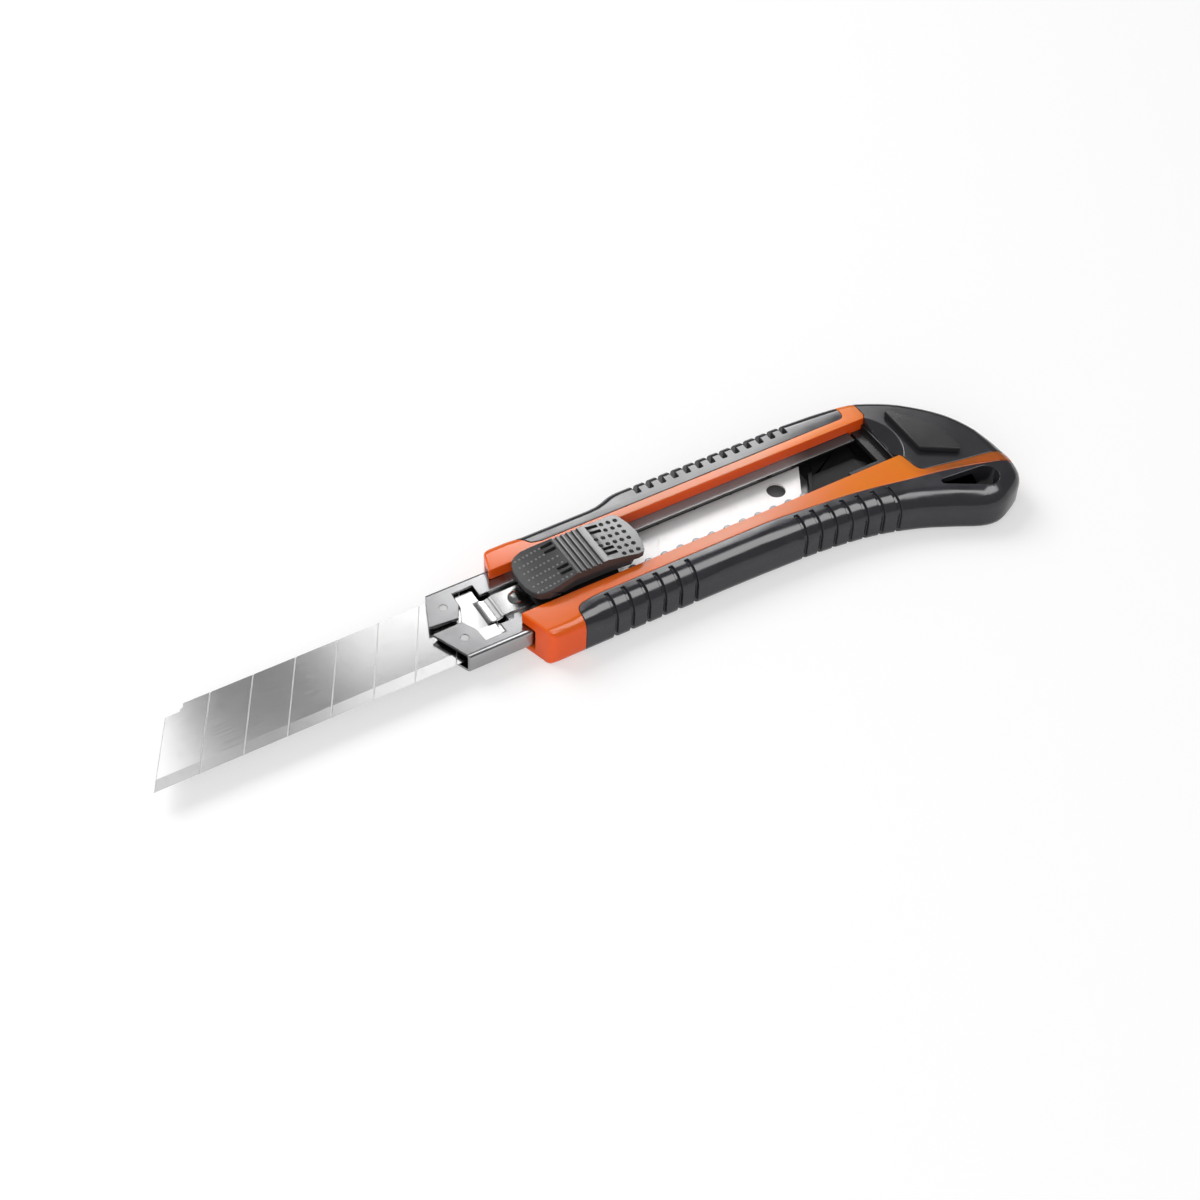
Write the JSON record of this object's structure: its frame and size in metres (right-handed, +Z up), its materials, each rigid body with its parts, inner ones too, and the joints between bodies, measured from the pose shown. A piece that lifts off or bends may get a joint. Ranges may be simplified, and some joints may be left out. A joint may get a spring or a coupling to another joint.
{
  "type": "utility knife",
  "caption": "Snap-off utility knife: scored blade in a toothed steel channel, auto-lock thumb slider, handle with soft grips and a lanyard hole in its beaked tail.",
  "frame": {"origin": "on the handle's flat underside, below the blade's centre line, near the middle of the handle", "axes": "+X along the knife from the blade tip to the tail, +Y across it towards the blade's spine, +Z up towards the thumb slider"},
  "size_m": [0.2043, 0.0433, 0.0138],
  "materials": {
    "orange_shell": "glossy",
    "black_grip": "satin",
    "black_plastic": "glossy",
    "grey_plastic": "matt",
    "zinc_steel": "plated, satin",
    "blade_steel": "ground and polished",
    "spring_steel": "bright",
    "dull_steel": "dull"
  },
  "bodies": {
    "handle": {"housing": "orange_shell", "near_grip": "black_grip", "far_grip": "black_grip", "tail_cover": "black_plastic", "tail_pad": "black_plastic", "rear_insert": "grey_plastic", "blade_channel": "zinc_steel", "guide_plate_near": "dull_steel", "guide_plate_far": "dull_steel", "nose_rivets": "spring_steel", "magazine_spring": "dull_steel", "spare_blade": "blade_steel", "spare_stop": "grey_plastic"},
    "carrier": {"blade": "blade_steel", "blade_holder": "dull_steel", "carrier_strip": "spring_steel", "carrier_rivet": "spring_steel", "slider_base": "grey_plastic", "click_spring": "spring_steel", "button_spring": "dull_steel"},
    "button": {"slider_button": "black_plastic"}
  },
  "joints": [
    {"name": "slider_travel", "type": "slide", "parent": "handle", "child": "carrier", "axis": [1, 0, 0], "range_m": [0, 0.069], "deforming": ["click_spring"]},
    {"name": "button_press", "type": "slide", "parent": "carrier", "child": "button", "axis": [0, 0, -1], "range_m": [0, 0.0008], "stiffness_N_per_m": 400, "deforming": ["button_spring"]}
  ]
}
